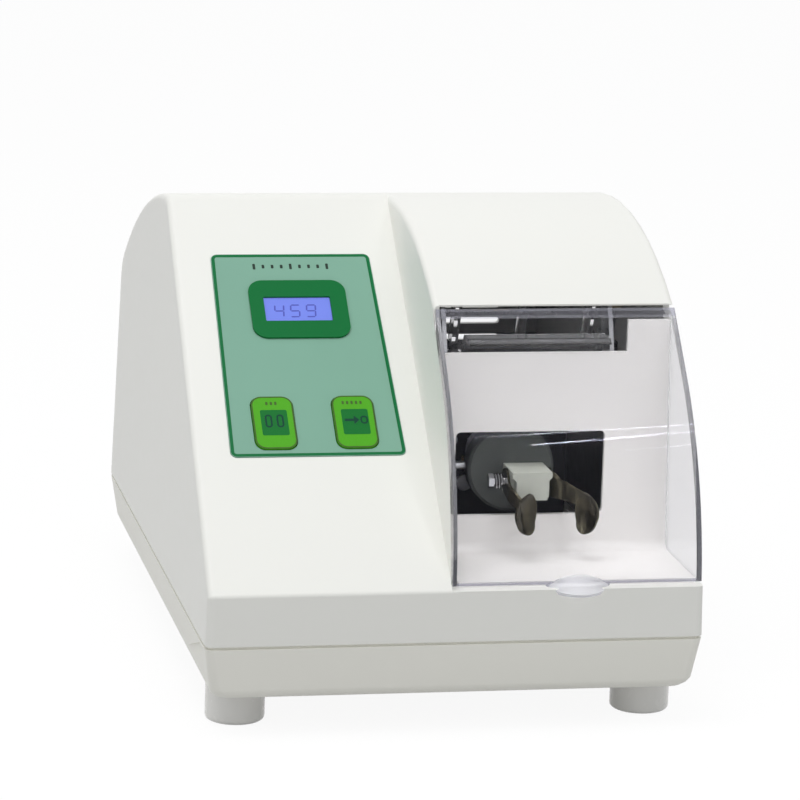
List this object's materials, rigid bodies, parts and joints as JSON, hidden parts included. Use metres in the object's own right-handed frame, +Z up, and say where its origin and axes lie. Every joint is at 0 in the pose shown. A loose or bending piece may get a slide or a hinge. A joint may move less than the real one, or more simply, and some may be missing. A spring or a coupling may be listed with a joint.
{
  "type": "dental amalgamator",
  "caption": "Bench-top dental capsule mixer with a sloping control face, a hooded mixing chamber under a hinged clear cover, and a wobbling claw fork driven by a motor.",
  "frame": {"origin": "centre of the bounding box in plan, on the plane of the feet", "axes": "+Z up, -Y out of the front of the machine, +X to the right as seen from the front"},
  "size_m": [0.23, 0.3456, 0.2177],
  "materials": {
    "housing_white": "satin",
    "pan_grey": "fine texture",
    "liner_white": "gloss",
    "clear_cover": "clear, polished",
    "overlay_green": "printed film",
    "bezel_green": "printed film",
    "display_blue": "back-lit",
    "button_green": "soft gloss",
    "board_green": "matt",
    "black_plastic": "moulded",
    "ivory_plastic": "moulded",
    "block_plastic": "moulded",
    "hub_grey": "moulded",
    "rocker_red": "moulded",
    "steel": "brushed",
    "claw_steel": "dark, polished",
    "chrome": "polished",
    "brass": "turned",
    "motor_paint": "painted",
    "cast_alloy": "cast",
    "laminations": "laminated",
    "buffer_rubber": "matt",
    "foot_grey": "moulded"
  },
  "bodies": {
    "housing": {"upper_housing": "housing_white", "base_pan": "pan_grey", "chamber_liner": "liner_white", "hinge_bracket_left": "steel", "hinge_bracket_right": "steel", "interlock_switch": "black_plastic", "panel_overlay": "overlay_green", "display_bezel": "bezel_green", "display_window": "display_blue", "lcd_module": "black_plastic", "control_board": "board_green", "board_spacers": "brass", "key_switches": "black_plastic", "power_board": "board_green", "board_screws": "steel", "transformer": "laminations", "power_inlet": "black_plastic", "inlet_pins": "chrome", "inlet_screws": "steel", "switch_frame": "black_plastic", "motor_can": "motor_paint", "motor_front_bell": "cast_alloy", "motor_rear_bell": "cast_alloy", "motor_stator": "laminations", "motor_bearings": "chrome", "motor_bracket": "motor_paint", "motor_mounts": "buffer_rubber", "motor_screws": "steel", "guide_arm": "black_plastic", "feet": "foot_grey", "foot_screws": "steel", "housing_screws": "steel", "liner_screws": "steel", "bracket_screws": "steel"},
    "cover": {"front_cover": "clear_cover", "hinge_axle": "steel", "interlock_cam": "ivory_plastic"},
    "switch_lever": {"interlock_lever": "steel"},
    "set_key": {"set_button": "button_green"},
    "start_key": {"start_button": "button_green"},
    "mains_rocker": {"power_rocker": "rocker_red"},
    "drawer": {"fuse_drawer": "black_plastic", "fuse": "chrome"},
    "rotor": {"motor_shaft": "steel", "cooling_fan": "black_plastic", "balance_weight": "brass", "wobble_sleeve": "steel"},
    "fork": {"fork_hub": "hub_grey", "hub_bearing": "chrome", "guide_pin": "steel", "fork_block": "block_plastic", "fork_screws": "steel", "clamp_bolt": "chrome", "clamp_spring": "chrome", "spring_hook": "chrome"},
    "left_arm": {"left_claw": "claw_steel"},
    "right_arm": {"right_claw": "claw_steel"}
  },
  "joints": [
    {"name": "cover_hinge", "type": "hinge", "parent": "housing", "child": "cover", "pos_m": [0.045, -0.08234, 0.1865], "axis": [-1, 0, 0], "range_deg": [0, 75]},
    {"name": "lever_pivot", "type": "hinge", "parent": "housing", "child": "switch_lever", "pos_m": [0.0884, -0.06134, 0.1644], "axis": [-1, 0, 0], "range_deg": [0, 6]},
    {"name": "set_press", "type": "slide", "parent": "housing", "child": "set_key", "axis": [0, 0.6428, -0.766], "range_m": [0, 0.001], "stiffness_N_per_m": 600, "springref_m": -0.001},
    {"name": "start_press", "type": "slide", "parent": "housing", "child": "start_key", "axis": [0, 0.6428, -0.766], "range_m": [0, 0.001], "stiffness_N_per_m": 600, "springref_m": -0.001},
    {"name": "rocker_tilt", "type": "hinge", "parent": "housing", "child": "mains_rocker", "pos_m": [-0.025, 0.16586, 0.07136], "axis": [1, 0, 0], "range_deg": [0, 12]},
    {"name": "drawer_slide", "type": "slide", "parent": "housing", "child": "drawer", "axis": [0, 0.9976, 0.0698], "range_m": [0, 0.012]},
    {"name": "shaft_spin", "type": "hinge", "parent": "housing", "child": "rotor", "pos_m": [0.0375, -0.02734, 0.1075], "axis": [0, 1, 0], "continuous": true},
    {"name": "fork_rock", "type": "hinge", "parent": "housing", "child": "fork", "pos_m": [0.0375, -0.09234, 0.1075], "axis": [1, 0, 0], "range_deg": [-5, 5]},
    {"name": "left_claw_open", "type": "hinge", "parent": "fork", "child": "left_arm", "pos_m": [0.03275, -0.10434, 0.104], "axis": [0, 0, -1], "range_deg": [0, 4], "stiffness_Nm_per_rad": 0.6, "springref_deg": -5.73},
    {"name": "right_claw_open", "type": "hinge", "parent": "fork", "child": "right_arm", "pos_m": [0.05325, -0.10434, 0.104], "axis": [0, 0, 1], "range_deg": [0, 4], "stiffness_Nm_per_rad": 0.6, "springref_deg": -5.73}
  ],
  "couplings": [
    {"joint": "lever_pivot", "follows": "cover_hinge", "ratio": 0.08}
  ]
}
